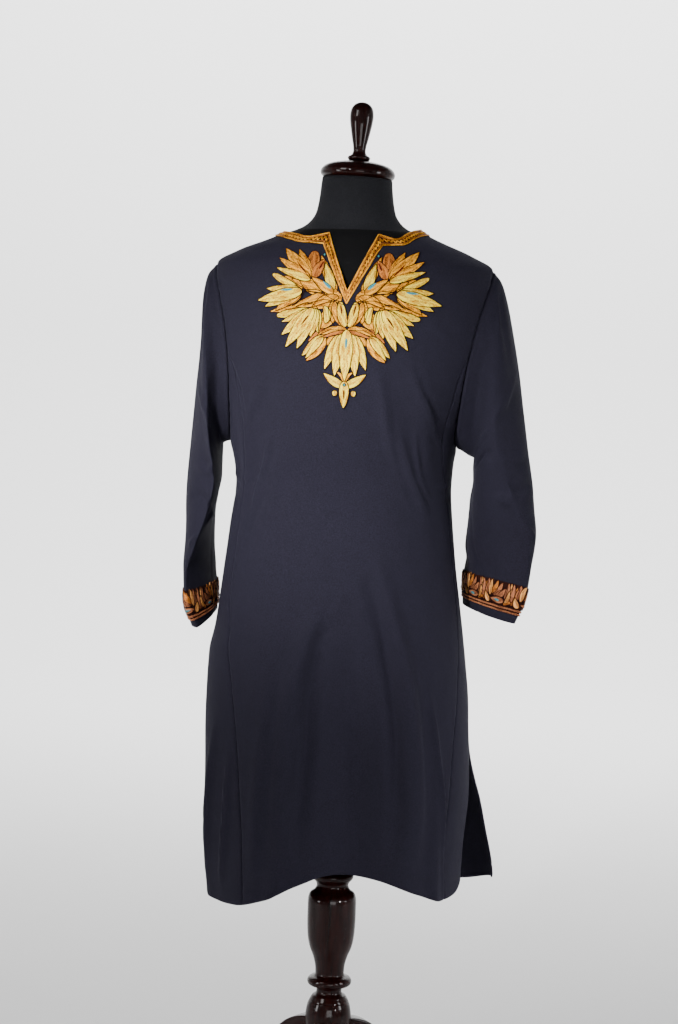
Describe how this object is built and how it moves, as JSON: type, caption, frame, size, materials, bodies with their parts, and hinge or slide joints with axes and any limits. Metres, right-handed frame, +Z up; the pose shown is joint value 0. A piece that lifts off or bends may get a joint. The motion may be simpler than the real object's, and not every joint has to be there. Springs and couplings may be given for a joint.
{
  "type": "pheran (south asian dress) on a dress form and stand",
  "caption": "Knee-length navy wool pheran with a gold embroidered yoke and cuff bands, worn by a limbless padded dress form on a turned wooden tripod stand.",
  "frame": {"origin": "on the floor, under the middle of the whole part", "axes": "+Z up, the front of the dress faces -Y, +X to the right as seen from the front"},
  "size_m": [0.534, 0.432, 1.578],
  "materials": {
    "navy_wool": "soft matt twill",
    "gold_thread": "silky satin stitch",
    "copper_thread": "silky chain stitch",
    "form_cloth": "matt plain weave",
    "cherry_wood": "gloss lacquer"
  },
  "bodies": {
    "root": {"front_panel": "navy_wool", "back_panel": "navy_wool", "front_gore_left": "navy_wool", "front_gore_right": "navy_wool", "back_gore_left": "navy_wool", "back_gore_right": "navy_wool", "sleeve_left": "navy_wool", "sleeve_right": "navy_wool", "cuff_band_left": "copper_thread", "cuff_band_right": "copper_thread", "neck_band": "copper_thread", "yoke_embroidery": "gold_thread", "form_body": "form_cloth", "pole": "cherry_wood", "post": "cherry_wood", "hub": "cherry_wood", "leg_front": "cherry_wood", "leg_right": "cherry_wood", "leg_left": "cherry_wood", "neck_cap": "cherry_wood", "finial": "cherry_wood"}
  },
  "joints": []
}
